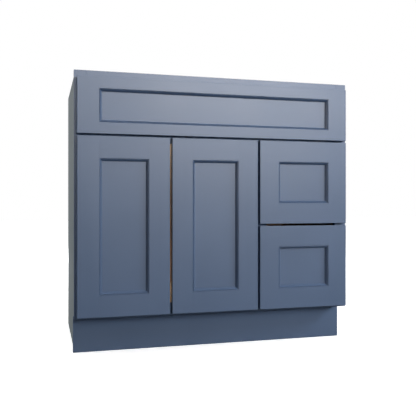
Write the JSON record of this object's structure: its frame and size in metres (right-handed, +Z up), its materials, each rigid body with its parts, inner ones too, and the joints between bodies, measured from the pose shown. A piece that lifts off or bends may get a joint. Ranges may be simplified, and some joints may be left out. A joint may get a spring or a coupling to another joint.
{
  "type": "bathroom vanity cabinet",
  "caption": "Framed vanity base cabinet with two doors on concealed hinges, two drawers on ball-bearing slides, a false front and a recessed toe space.",
  "frame": {"origin": "middle of the footprint's box, on the floor", "axes": "+X to the right seen from the front, +Y towards the wall, +Z up"},
  "size_m": [0.9144, 0.5544, 0.8763],
  "materials": {
    "blue_paint": "satin slate-blue paint on wood, sprayed",
    "side_skin": "matt grey laminate skin on plywood, wood core at the edges",
    "natural_birch": "clear-coated birch plywood and solid birch",
    "zinc_steel": "bright zinc plate on rolled sheet steel",
    "nickel_steel": "nickel plate on pressed steel"
  },
  "bodies": {
    "carcass": {"side_panel_left": "side_skin", "side_panel_right": "side_skin", "floor_panel": "natural_birch", "back_panel": "natural_birch", "hanging_rail": "natural_birch", "toe_kick_board": "blue_paint", "drawer_partition": "natural_birch", "slide_filler": "natural_birch", "frame_stile_left": "blue_paint", "frame_stile_right": "blue_paint", "frame_mullion": "blue_paint", "frame_rail_top": "blue_paint", "frame_rail_middle": "blue_paint", "frame_rail_bottom": "blue_paint", "corner_brace_front_left": "natural_birch", "corner_brace_front_right": "natural_birch", "apron_frame": "blue_paint", "apron_panel": "blue_paint", "hinge_arm_left_lower": "nickel_steel", "hinge_arm_left_upper": "nickel_steel", "hinge_arm_right_lower": "nickel_steel", "hinge_arm_right_upper": "nickel_steel", "slide_outer_upper_left": "zinc_steel", "slide_outer_upper_right": "zinc_steel", "slide_outer_lower_left": "zinc_steel", "slide_outer_lower_right": "zinc_steel"},
    "hinge_links_left": {"hinge_link_left_lower": "nickel_steel", "hinge_link_left_upper": "nickel_steel"},
    "door_left": {"door_left_frame": "blue_paint", "door_left_panel": "blue_paint", "hinge_cup_left_lower": "nickel_steel", "hinge_cup_left_upper": "nickel_steel"},
    "hinge_links_right": {"hinge_link_right_lower": "nickel_steel", "hinge_link_right_upper": "nickel_steel"},
    "door_right": {"door_right_frame": "blue_paint", "door_right_panel": "blue_paint", "hinge_cup_right_lower": "nickel_steel", "hinge_cup_right_upper": "nickel_steel"},
    "slide_middles_upper": {"slide_middle_upper_left": "zinc_steel", "slide_middle_upper_right": "zinc_steel"},
    "drawer_upper": {"drawer_upper_front_frame": "blue_paint", "drawer_upper_front_panel": "blue_paint", "drawer_upper_box_front": "natural_birch", "drawer_upper_box_back": "natural_birch", "drawer_upper_box_left": "natural_birch", "drawer_upper_box_right": "natural_birch", "drawer_upper_box_bottom": "natural_birch", "slide_inner_upper_left": "zinc_steel", "slide_inner_upper_right": "zinc_steel"},
    "slide_middles_lower": {"slide_middle_lower_left": "zinc_steel", "slide_middle_lower_right": "zinc_steel"},
    "drawer_lower": {"drawer_lower_front_frame": "blue_paint", "drawer_lower_front_panel": "blue_paint", "drawer_lower_box_front": "natural_birch", "drawer_lower_box_back": "natural_birch", "drawer_lower_box_left": "natural_birch", "drawer_lower_box_right": "natural_birch", "drawer_lower_box_bottom": "natural_birch", "slide_inner_lower_left": "zinc_steel", "slide_inner_lower_right": "zinc_steel"}
  },
  "joints": [
    {"name": "door_left_link", "type": "hinge", "parent": "carcass", "child": "hinge_links_left", "pos_m": [-0.4151, -0.25517, 0.3978], "axis": [0, 0, -1], "range_deg": [-46.7, 0]},
    {"name": "door_left_swing", "type": "hinge", "parent": "hinge_links_left", "child": "door_left", "pos_m": [-0.4357, -0.25977, 0.3978], "axis": [0, 0, -1], "range_deg": [0, 140]},
    {"name": "door_right_link", "type": "hinge", "parent": "carcass", "child": "hinge_links_right", "pos_m": [0.096, -0.25517, 0.3978], "axis": [0, 0, 1], "range_deg": [-46.7, 0]},
    {"name": "door_right_swing", "type": "hinge", "parent": "hinge_links_right", "child": "door_right", "pos_m": [0.1166, -0.25977, 0.3978], "axis": [0, 0, 1], "range_deg": [0, 140]},
    {"name": "drawer_upper_travel", "type": "slide", "parent": "carcass", "child": "drawer_upper", "axis": [0, -1, 0], "range_m": [0, 0.44]},
    {"name": "slides_upper_travel", "type": "slide", "parent": "carcass", "child": "slide_middles_upper", "axis": [0, -1, 0], "range_m": [0, 0.22]},
    {"name": "drawer_lower_travel", "type": "slide", "parent": "carcass", "child": "drawer_lower", "axis": [0, -1, 0], "range_m": [0, 0.44]},
    {"name": "slides_lower_travel", "type": "slide", "parent": "carcass", "child": "slide_middles_lower", "axis": [0, -1, 0], "range_m": [0, 0.22]}
  ],
  "couplings": [
    {"joint": "door_left_link", "follows": "door_left_swing", "ratio": -0.33333},
    {"joint": "door_right_link", "follows": "door_right_swing", "ratio": -0.33333},
    {"joint": "slides_upper_travel", "follows": "drawer_upper_travel", "ratio": 0.5},
    {"joint": "slides_lower_travel", "follows": "drawer_lower_travel", "ratio": 0.5}
  ]
}
